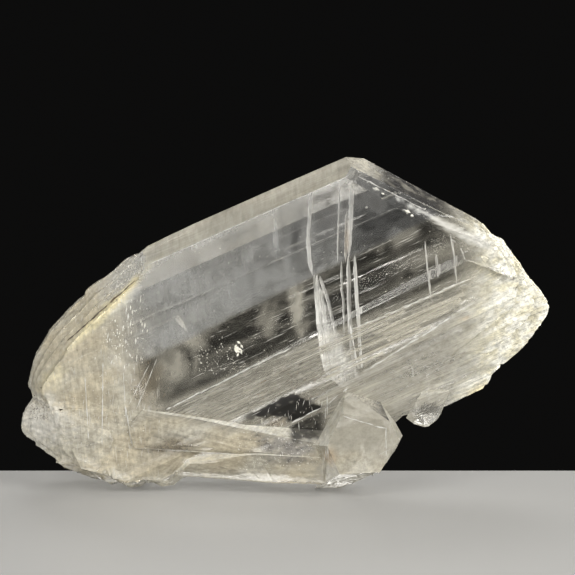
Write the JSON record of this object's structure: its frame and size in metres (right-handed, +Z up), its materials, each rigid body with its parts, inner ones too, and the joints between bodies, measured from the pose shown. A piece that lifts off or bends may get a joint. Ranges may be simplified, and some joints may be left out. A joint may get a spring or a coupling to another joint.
{
  "type": "selenite crystal blade",
  "caption": "Thick clear gypsum crystal blade with bevelled long edges, an oblique pointed end and broken ends, standing on its lower edge.",
  "frame": {"origin": "on the ground, at the middle of the blade's width and depth", "axes": "X along the blade to the right seen from the front, Y from the front broad face to the back one, Z up"},
  "size_m": [0.116, 0.029, 0.0738],
  "materials": {
    "selenite": "clear to milky, glossy cleavage faces, rough broken ends"
  },
  "bodies": {
    "root": {"crystal_blade": "selenite"}
  },
  "joints": []
}
